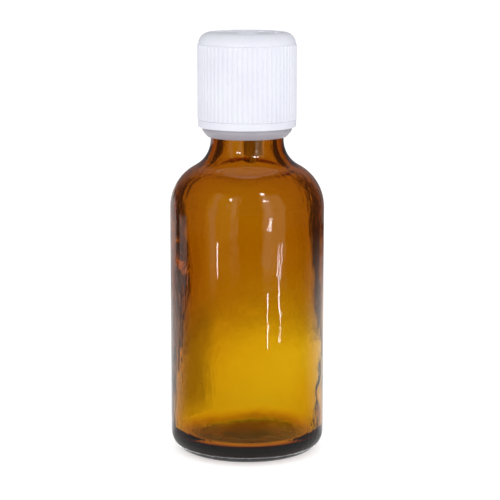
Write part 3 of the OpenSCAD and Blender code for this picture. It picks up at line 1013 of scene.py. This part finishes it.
@dataclass
class OuterCap:
    """The ribbed outer cap with its rounded crown, turning marks, catch and teeth. Sizes in mm."""

    foot_z: float = 78.99
    height: float = 22.4
    ribs: int = 60
    per_rib: int = 8
    rib_heights: tuple[float, ...] = (0.0, 0.0, 0.55, 0.95, 1.0, 1.0, 0.95, 0.55)
    rib_h: float = 0.28
    wall_r: float = 11.57
    band_r: float = 11.75
    band_h: float = 1.8
    crown_r: float = 11.59
    crown_h: float = 2.8
    edge_r: float = 2.7
    dish: float = 0.3
    under_z: float = 100.29
    bore_r: float = 10.95
    grip_r: float = 10.6
    grip_z: float = 85.4
    catch_r: float = 10.45
    catch_z: float = 81.75
    teeth: int = 12
    tooth_in: float = 7.1
    tooth_out: float = 9.6
    tooth_w: float = 1.6
    tooth_h: float = 1.47
    mark_r: float = 6.89
    mark_w: float = 0.9
    mark_sweep: float = 110.0
    arrow_l: float = 2.4
    arrow_w: float = 2.6
    press_r: float = 2.6
    finish: MouldedPlastic = OUTER_WHITE

    def section(self) -> Outline:
        """The cap's section from the middle of the top over the crown, down outside and up inside."""
        top = self.foot_z + self.height
        rib_top, rib_foot = top - self.crown_h, self.foot_z + self.band_h
        dish_r = self.crown_r - self.edge_r - 0.5
        edge_x = self.crown_r - self.edge_r
        low = top - self.dish
        return [
            *run((0, low), (dish_r - 0.15, low), 8), (dish_r, low + 0.05), (dish_r + 0.12, top - 0.08),
            (dish_r + 0.25, top), (edge_x - 0.1, top),
            *arc((edge_x, top - self.edge_r), self.edge_r, 90, 0, 14),
            (self.crown_r, rib_top + 0.03), (self.wall_r, rib_top), (self.wall_r, rib_top - 0.06),
            *run((self.wall_r, rib_top - 0.16), (self.wall_r, rib_foot + 0.16), 10),
            (self.wall_r, rib_foot + 0.05), (self.wall_r, rib_foot), (self.band_r - 0.05, rib_foot - 0.02),
            (self.band_r, rib_foot - 0.1), (self.band_r, self.foot_z + 0.35),
            *arc((self.band_r - 0.3, self.foot_z + 0.3), 0.3, 0, -90, 5)[1:],
            (self.bore_r + 0.15, self.foot_z), (self.bore_r, self.foot_z + 0.15),
            (self.bore_r, self.catch_z), (self.catch_r + 0.06, self.catch_z + 0.34),
            (self.catch_r, self.catch_z + 0.46), (self.catch_r, self.catch_z + 0.72),
            (self.catch_r + 0.08, self.catch_z + 0.8),
            (self.bore_r, self.catch_z + 0.8), (self.bore_r, self.grip_z),
            (self.grip_r, self.grip_z + self.bore_r - self.grip_r),
            (self.grip_r, self.under_z - 0.6),
            *arc((self.grip_r - 0.6, self.under_z - 0.6), 0.6, 0, 90, 5)[1:],
            *run((self.grip_r - 0.6, self.under_z), (0, self.under_z), 6)[1:],
        ]

    def build(self) -> Piece:
        """Returns the finished outer cap."""
        piece = turned("ribbed_cap", self.section(), self.ribs * self.per_rib)
        self.raise_ribs(piece)
        half = self.tooth_w / 2
        under = self.under_z
        end_view = [(-half, under + 0.2), (-half, under - self.tooth_h),
                    (self.tooth_w / 8, under - self.tooth_h), (half, under), (half, under + 0.2),
                    (-half, under + 0.2)]
        tooth = bar("cap_tooth", end_view, self.tooth_in, self.tooth_out, 0.08)
        join(piece, [*copies_round(tooth, self.teeth, 180 / self.teeth), *self.marks()])
        finish_mesh(piece, 32)
        piece.data.materials.append(self.finish.make())
        hand_over(piece, "cap_shell", "outer_cap")
        return piece

    def raise_ribs(self, piece: Piece) -> None:
        """Scales columns of the wall outward to make its grip ribs."""
        top = self.foot_z + self.height - self.crown_h
        foot = self.foot_z + self.band_h
        columns = self.ribs * self.per_rib
        step = 360 / columns
        with editing(piece):
            for height in sorted(set(self.rib_heights) - {0.0}):
                pick(piece, lambda p: foot + 0.03 < p.z < top - 0.03 and radius_of(p) > self.wall_r - 0.01
                     and self.rib_heights[round(angle_of(p) / step) % self.per_rib] == height)
                grow = (self.wall_r + self.rib_h * height) / self.wall_r
                bpy.ops.transform.resize(value=(grow, grow, 1), center_override=(0, 0, 0))

    def marks(self) -> list[Piece]:
        """The raised turning arrows and the press mark on the top."""
        top = self.foot_z + self.height
        low = top - self.dish - 0.05
        ring = turned("press_mark", [
            (self.press_r - self.mark_w, low), (self.press_r, low), (self.press_r, top - 0.12),
            (self.press_r - 0.1, top - 0.02), (self.press_r - self.mark_w + 0.1, top - 0.02),
            (self.press_r - self.mark_w, top - 0.12), (self.press_r - self.mark_w, low)], 48)
        dot = turned("press_dot", [(0, low), (self.mark_w, low), (self.mark_w, top - 0.12),
                                   (self.mark_w - 0.1, top - 0.02), (0, top - 0.02)], 32)
        inner, outer = self.mark_r - self.mark_w / 2, self.mark_r + self.mark_w / 2
        angles = [math.radians(a) for a in range(0, int(self.mark_sweep) + 1, 5)]
        tip = angles[-1]
        spread = self.arrow_w / 2
        head = [(self.mark_r - spread, 0.0), (self.mark_r, self.arrow_l), (self.mark_r + spread, 0.0)]
        cos, sin = math.cos(tip), math.sin(tip)
        head = [(x * cos - y * sin, x * sin + y * cos) for x, y in head]
        plan = [*[(inner * math.cos(a), inner * math.sin(a)) for a in angles], *head,
                *[(outer * math.cos(a), outer * math.sin(a)) for a in angles[::-1]]]
        arrow = draw("turn_arrow", [*plan, plan[0]])
        with editing(arrow):
            bpy.ops.mesh.remove_doubles(threshold=MERGE)
            bpy.ops.mesh.select_all(action="SELECT")
            bpy.ops.transform.rotate(value=math.pi / 2, orient_axis="X", orient_type="GLOBAL",
                                     center_override=(0, 0, 0))
            mesh = bmesh.from_edit_mesh(arrow.data)
            flip = -1 if sum(v.co.y for v in mesh.verts) < 0 else 1
            bpy.ops.transform.resize(value=(1, flip, 1), center_override=(0, 0, 0))
            bpy.ops.mesh.edge_face_add()
            bpy.ops.transform.translate(value=(0, 0, low * MM))
            rise = (top - 0.02 - low) * MM
            bpy.ops.mesh.extrude_region_move(TRANSFORM_OT_translate={"value": (0, 0, rise)})
            bpy.ops.mesh.bevel(offset=0.08 * MM, segments=2, affect="EDGES")
            bpy.ops.mesh.select_all(action="SELECT")
            bpy.ops.mesh.normals_make_consistent(inside=False)
        return [ring, dot, *copies_round(arrow, 2)]


# ------------------------------------------------------------------ studio

class Ray(Enum):
    """Kinds of ray that may see a stage object."""

    CAMERA = "camera"
    DIFFUSE = "diffuse"
    GLOSSY = "glossy"
    TRANSMISSION = "transmission"
    SHADOW = "shadow"
    SCATTER = "volume_scatter"


@dataclass(frozen=True)
class Card:
    """A curved upright card round the vial, bent from a strip, that one kind of ray sees.

    Its angles are degrees right of the camera's side, its sizes metres and its level a share of
    white. It fades over a share of its width at each upright edge, and over a height at foot and top.
    """

    name: str
    angles: tuple[float, float]
    heights: tuple[float, float]
    level: float
    ray: Ray = Ray.GLOSSY
    distance: float = 0.2
    soft: float = 0.15
    fade: float = 0.0
    tint: str = "#ffffff"

    def draw_strip(self) -> Piece:
        """Returns the bent strip without its material."""
        low, high = self.angles
        start = math.radians(low)
        x, y = self.distance * math.sin(start) / MM, -self.distance * math.cos(start)
        strip = draw(self.name, [(x, height / MM) for height in self.heights])
        with editing(strip):
            bpy.ops.transform.translate(value=(0, y, 0))
            bpy.ops.mesh.spin(steps=max(2, round((high - low) / 3)), angle=-math.radians(high - low),
                              center=(0, 0, 0), axis=(0, 0, 1))
        return strip

    def cover(self, tree: bpy.types.NodeTree) -> bpy.types.NodeSocket:
        """Adds the nodes of its fading edges.

        Args:
            tree: the material's node tree.

        Returns:
            How much of the card is there, 0 to 1.
        """
        low, high = (math.radians(angle) for angle in self.angles)
        middle, half = (low + high) / 2, (high - low) / 2
        foot, top = self.heights
        half_rise = (top - foot) / 2
        place = add_node(tree, "ShaderNodeTexCoord").outputs["Object"]
        out, aside = (
            add_node(tree, "ShaderNodeVectorMath", {0: place, 1: way}, operation="DOT_PRODUCT")
            for way in ((math.sin(middle), -math.cos(middle), 0), (math.cos(middle), math.sin(middle), 0)))
        turn = add_node(tree, "ShaderNodeMath", {
            0: aside.outputs["Value"], 1: out.outputs["Value"],
        }, operation="ARCTAN2")
        split = add_node(tree, "ShaderNodeSeparateXYZ", {"Vector": place})
        rise = add_node(tree, "ShaderNodeMath", {
            0: split.outputs["Z"], 1: (foot + top) / 2,
        }, operation="SUBTRACT")
        shares = []
        for off, far, near in (
            (turn, half, half * (1 - 2 * self.soft) - 1e-4),
            (rise, half_rise + 1e-5, half_rise - self.fade),
        ):
            size = add_node(tree, "ShaderNodeMath", {0: off.outputs[0]}, operation="ABSOLUTE")
            share = add_node(tree, "ShaderNodeMapRange", {
                "Value": size.outputs[0], "From Min": far, "From Max": near,
            }, interpolation_type="SMOOTHSTEP")
            shares.append(share.outputs["Result"])
        return add_node(tree, "ShaderNodeMath", dict(enumerate(shares)), operation="MULTIPLY").outputs[0]

    def build(self) -> Piece:
        """Returns the finished card."""
        strip = self.draw_strip()
        material = new_material(self.name)
        tree = material.node_tree
        glow = add_node(tree, "ShaderNodeEmission", {"Color": linear(self.tint), "Strength": self.level})
        clear = add_node(tree, "ShaderNodeBsdfTransparent")
        mix = add_node(tree, "ShaderNodeMixShader", {
            "Fac": self.cover(tree), 1: clear.outputs["BSDF"], 2: glow.outputs["Emission"],
        })
        add_node(tree, "ShaderNodeOutputMaterial", {"Surface": mix.outputs["Shader"]})
        strip.data.materials.append(material)
        return strip


TALL = (0.0, 0.25)
FROM_BELOW = (-0.02, 0.2)
GOLD, WARM, PALE = "#ffd95a", "#ffecb4", "#fff4dc"
SOFT_BOXES = (
    Card("soft_box_right", (20, 58), TALL, 0.95, distance=0.199, soft=0.1, fade=0.02, tint=WARM),
    Card("soft_box_inner", (23, 37), TALL, 1.615, distance=0.1983, soft=0.3, fade=0.06, tint=PALE),
    Card("soft_box_left", (-66, -18), TALL, 0.95, distance=0.199, soft=0.2, fade=0.03, tint=GOLD),
    Card("soft_box_core", (-57, -43), TALL, 1.045, distance=0.1989, soft=0.3, fade=0.02, tint=WARM),
    Card("soft_box_edge", (-25, -13), TALL, 1.33, distance=0.1986, soft=0.1, fade=0.05, tint=WARM),
)
WALLS = (
    Card("left_wall", (-118, -96), (0.0, 0.032), 0.6, fade=0.006),
    Card("left_back_wall", (-179, -125), (0.0, 0.07), 0.62, distance=0.21, soft=0.1, fade=0.01),
    Card("dark_column", (-12, 22), (0.013, 0.049), 0.0, distance=0.19, soft=0.1, fade=0.004),
)
LAMP_LEVEL = 18.0
LAMPS = tuple(
    Card(name, (angle - width / 2, angle + width / 2), heights, LAMP_LEVEL, distance=0.11)
    for name, angle, width, heights in (
        ("lamp_right_long", 44.9, 1.9, (0.009, 0.037)), ("lamp_right_low", 28.2, 1.5, (0.0068, 0.0235)),
        ("lamp_right_high", 29.6, 2.6, (0.043, 0.048)), ("lamp_left", -41.1, 1.7, (0.0272, 0.038)),
    ))
FLAGS = (
    Card("flag_right", (110, 172), FROM_BELOW, 0.12, Ray.TRANSMISSION, soft=0.12),
    Card("flag_left", (-174, -146), FROM_BELOW, 0.5, Ray.TRANSMISSION, soft=0.4),
    Card("flag_far_left", (-152, -105), FROM_BELOW, 0.12, Ray.TRANSMISSION, 0.19, soft=0.1, fade=0.03),
    Card("flag_low_left", (-166, -96), (-0.0025, 0.038), 0.45, Ray.TRANSMISSION, 0.03, soft=0.3, fade=0.012),
    Card("back_card", (140, 220), (0.0, 0.3), 0.78, Ray.TRANSMISSION, 0.1, soft=0.1, fade=0.026),
)


@dataclass
class Studio:
    """Pale table, soft light and the camera. Sizes in metres; levels are shares of white."""

    camera_place: tuple[float, float, float] = (0.0007, -0.476, 0.1333)
    camera_down_deg: float = 10.05
    lens_mm: float = 144.14
    sensor_mm: float = 36.0
    floor_r: float = 8.0
    floor_glow: float = 0.37
    # painted light: a brighter pool of the table's glow close round the vial
    painted_near_glow: float = 0.54
    near_r: tuple[float, float] = (0.02, 0.04)
    # painted shadow: distances over which the table's glow fades out under the vial's base
    painted_shadow_r: tuple[float, float] = (0.0115, 0.0135)
    sky: float = 0.78
    sky_top: float = 0.80
    key_power: float = 3.05
    key_size: float = 0.9
    key_place: tuple[float, float, float] = (0.1, -1.3, 0.45)
    key_target: tuple[float, float, float] = (0.0, 0.0, 0.07)
    room_r: float = 1.5
    room_h: float = 3.0
    room_foot: float = -0.0015
    room_dim: float = 0.04
    room_pale: float = 0.2
    table_pale: float = 0.85
    table_r: tuple[float, float] = (0.14, 0.34)
    near_pale: float = 0.5
    near_pale_r: tuple[float, float] = (0.06, 0.025)
    head_r: float = 0.006
    head_distance: float = 0.15
    glint_mm: tuple[float, float] = (17.2, 17.42)
    glint_z_mm: float = 0.02
    glint_level: float = 6.0

    def build(self) -> None:
        """Makes the camera, the floor, the surround, the cards and the lamps."""
        self.add_camera()
        self.add_world()
        self.add_floor()
        self.add_reflected_room()
        for card in (*SOFT_BOXES, *WALLS, *LAMPS):
            self.show_to(card.build(), card.ray)
        for name, angle, rise in (
            ("head_right_low", 28, 48), ("head_right_high", 27, 60), ("head_left", -24, 50),
        ):
            self.add_lamp_head(name, angle, rise)
        for card in FLAGS:
            self.show_to(card.build(), card.ray)
        self.add_glint()
        self.add_key()

    def add_camera(self) -> None:
        """Places the camera a little above the vial, looking slightly down."""
        data = bpy.data.cameras.new("camera")
        data.lens = self.lens_mm
        data.sensor_width = self.sensor_mm
        data.clip_start, data.clip_end = 0.01, 50
        camera = bpy.data.objects.new("camera", data)
        camera.location = self.camera_place
        camera.rotation_euler = (math.radians(90 - self.camera_down_deg), 0, 0)
        bpy.context.scene.collection.objects.link(camera)
        bpy.context.scene.camera = camera

    def add_world(self) -> None:
        """An even, pale surround."""
        world = bpy.data.worlds.new("surround")
        world.use_nodes = True
        tree = world.node_tree
        tree.nodes.clear()
        where = add_node(tree, "ShaderNodeTexCoord").outputs["Generated"]
        split = add_node(tree, "ShaderNodeSeparateXYZ", {"Vector": where})
        level = add_node(tree, "ShaderNodeMapRange", {
            "Value": split.outputs["Z"], "From Min": 0.0, "From Max": 0.9,
            "To Min": self.sky, "To Max": self.sky_top,
        })
        sky = add_node(tree, "ShaderNodeBackground", {
            "Color": (1, 1, 1, 1), "Strength": level.outputs["Result"],
        })
        add_node(tree, "ShaderNodeOutputWorld", {"Surface": sky.outputs["Background"]})
        bpy.context.scene.world = world

    def add_floor(self) -> None:
        """The light table: white acrylic, lit a little from below and slightly uneven in tone, with a painted
        shadow under the vial and a painted brighter pool of glow round it.
        """
        deselect_all()
        bpy.ops.mesh.primitive_circle_add(vertices=64, radius=self.floor_r, fill_type="NGON",
                                          location=(0, 0, -0.0001))
        floor = bpy.context.object
        floor.name = "light_table"
        material = new_material("white_acrylic_table_painted_shade")
        tree = material.node_tree
        place = add_node(tree, "ShaderNodeTexCoord").outputs["Object"]
        tone = add_node(tree, "ShaderNodeTexNoise", {"Vector": place, "Scale": 4.0})
        pale = add_node(tree, "ShaderNodeMapRange", {
            "Value": tone.outputs["Fac"], "To Min": 0.9, "To Max": 0.94,
        })
        away = add_node(tree, "ShaderNodeVectorMath", {0: place}, operation="LENGTH")
        # Painted light: the table glows brighter close round the vial.
        glow = add_node(tree, "ShaderNodeMapRange", {
            "Value": away.outputs["Value"], "From Min": self.near_r[0], "From Max": self.near_r[1],
            "To Min": self.painted_near_glow, "To Max": self.floor_glow,
        })
        # Painted shadow: the glow falls to nothing under the vial's base.
        shade = add_node(tree, "ShaderNodeMapRange", {
            "Value": away.outputs["Value"], "From Min": self.painted_shadow_r[0], "From Max": self.painted_shadow_r[1],
        })
        lit = add_node(tree, "ShaderNodeMath", {
            0: glow.outputs["Result"], 1: shade.outputs["Result"],
        }, operation="MULTIPLY")
        shader = add_node(tree, "ShaderNodeBsdfPrincipled", {
            "Base Color": pale.outputs["Result"], "Roughness": 0.7, "Specular IOR Level": 0.0,
            "Emission Color": (1, 1, 1, 1), "Emission Strength": lit.outputs[0],
        })
        add_node(tree, "ShaderNodeOutputMaterial", {"Surface": shader.outputs["BSDF"]})
        floor.data.materials.append(material)
        floor.visible_glossy = False

    def add_reflected_room(self) -> None:
        """What glass and plastic mirror: walls and a table, dim in front and pale behind."""
        deselect_all()
        bpy.ops.mesh.primitive_cylinder_add(vertices=64, radius=self.room_r, depth=self.room_h,
                                            location=(0, 0, self.room_foot + self.room_h / 2))
        self.light_up(bpy.context.object, "mirrored_room", (0.7, 0.95), self.room_pale, (2.0, 3.0))
        deselect_all()
        bpy.ops.mesh.primitive_circle_add(vertices=64, radius=self.table_r[1], fill_type="NGON")
        self.light_up(bpy.context.object, "mirrored_table", (-0.1, 0.65), self.table_pale, self.table_r)

    def light_up(self, thing: Piece, name: str, behind: tuple[float, float], pale: float,
                 fade: tuple[float, float]) -> None:
        """Makes a stage object glow, dim in front of the vial and pale behind it, for reflections.

        Args:
            thing: the stage object.
            name: its new name.
            behind: where it turns pale, as shares of straight back.
            pale: how bright it is there.
            fade: distances from the vial between which the pale part turns dim.
        """
        thing.name = name
        material = new_material(name)
        tree = material.node_tree
        place = add_node(tree, "ShaderNodeTexCoord").outputs["Object"]
        flat = add_node(tree, "ShaderNodeVectorMath", {0: place, 1: (1, 1, 0)}, operation="MULTIPLY")
        way = add_node(tree, "ShaderNodeVectorMath", {0: flat.outputs["Vector"]}, operation="NORMALIZE")
        split = add_node(tree, "ShaderNodeSeparateXYZ", {"Vector": way.outputs["Vector"]})
        level = add_node(tree, "ShaderNodeMapRange", {
            "Value": split.outputs["Y"], "From Min": behind[0], "From Max": behind[1],
            "To Min": self.room_dim, "To Max": pale,
        }, interpolation_type="SMOOTHSTEP")
        away = add_node(tree, "ShaderNodeVectorMath", {0: flat.outputs["Vector"]}, operation="LENGTH")
        far = add_node(tree, "ShaderNodeMapRange", {
            "Value": away.outputs["Value"], "From Min": fade[0], "From Max": fade[1],
            "To Min": 1.0, "To Max": self.room_dim / pale,
        }, interpolation_type="SMOOTHSTEP")
        level = add_node(tree, "ShaderNodeMath", {
            0: level.outputs["Result"], 1: far.outputs["Result"],
        }, operation="MULTIPLY")
        near = add_node(tree, "ShaderNodeMapRange", {
            "Value": away.outputs["Value"], "From Min": self.near_pale_r[0],
            "From Max": self.near_pale_r[1], "To Max": self.near_pale,
        })
        most = add_node(tree, "ShaderNodeMath", {
            0: level.outputs[0], 1: near.outputs["Result"],
        }, operation="MAXIMUM")
        glow = add_node(tree, "ShaderNodeEmission", {"Color": (1, 1, 1, 1), "Strength": most.outputs[0]})
        add_node(tree, "ShaderNodeOutputMaterial", {"Surface": glow.outputs["Emission"]})
        thing.data.materials.append(material)
        self.show_to(thing, Ray.GLOSSY)

    def show_to(self, thing: Piece, *rays: Ray) -> None:
        """Lets only some kinds of ray see a stage object, which lights nothing by itself."""
        for ray in Ray:
            setattr(thing, "visible_" + ray.value, ray in rays)
        thing.data.materials[0].cycles.emission_sampling = "NONE"

    def add_glint(self) -> None:
        """The bright line of table that the heel mirrors where it curves in over it."""
        ring = draw("heel_glint", [(radius, self.glint_z_mm) for radius in self.glint_mm])
        with editing(ring):
            bpy.ops.mesh.spin(steps=96, angle=FULL, center=(0, 0, 0), axis=(0, 0, 1), use_auto_merge=True)
        self.make_lamp(ring, self.glint_level)

    def make_lamp(self, thing: Piece, level: float) -> None:
        """Makes a stage object glow evenly, for reflections.

        Args:
            thing: the stage object.
            level: how bright it is.
        """
        material = new_material(thing.name)
        tree = material.node_tree
        glow = add_node(tree, "ShaderNodeEmission", {"Color": (1, 1, 1, 1), "Strength": level})
        add_node(tree, "ShaderNodeOutputMaterial", {"Surface": glow.outputs["Emission"]})
        thing.data.materials.append(material)
        self.show_to(thing, Ray.GLOSSY)

    def add_lamp_head(self, name: str, angle: float, rise: float) -> None:
        """A small round lamp above the vial that the shoulder mirrors as a spot.

        Args:
            name: its name.
            angle: its direction in degrees right of the camera's side.
            rise: its elevation in degrees.
        """
        turn, tilt = math.radians(angle), math.radians(rise)
        way = Vector((math.cos(tilt) * math.sin(turn), -math.cos(tilt) * math.cos(turn), math.sin(tilt)))
        deselect_all()
        bpy.ops.mesh.primitive_ico_sphere_add(
            subdivisions=3, radius=self.head_r, location=way * self.head_distance)
        head = bpy.context.object
        head.name = name
        self.make_lamp(head, LAMP_LEVEL)

    def add_key(self) -> None:
        """The large soft lamp over the camera."""
        lamp = bpy.data.lights.new("key", "AREA")
        lamp.shape = "DISK"
        lamp.size = self.key_size
        lamp.energy = self.key_power
        key = bpy.data.objects.new("key", lamp)
        key.location = self.key_place
        key.rotation_euler = (Vector(self.key_target) - key.location).to_track_quat("-Z", "Y").to_euler()
        for ray in (Ray.CAMERA, Ray.GLOSSY, Ray.TRANSMISSION):
            setattr(key, "visible_" + ray.value, False)
        bpy.context.scene.collection.objects.link(key)


def main() -> None:
    """Builds the studio and every piece in order."""
    logging.basicConfig(level=logging.INFO, format="%(name)s: %(message)s")
    bpy.context.scene.view_settings.view_transform = "Standard"
    Studio().build()
    for maker in (GlassBottle, DropperInsert, TamperRing, InnerCap, SpringTongues, OuterCap):
        maker().build()


if __name__ == "__main__":
    main()
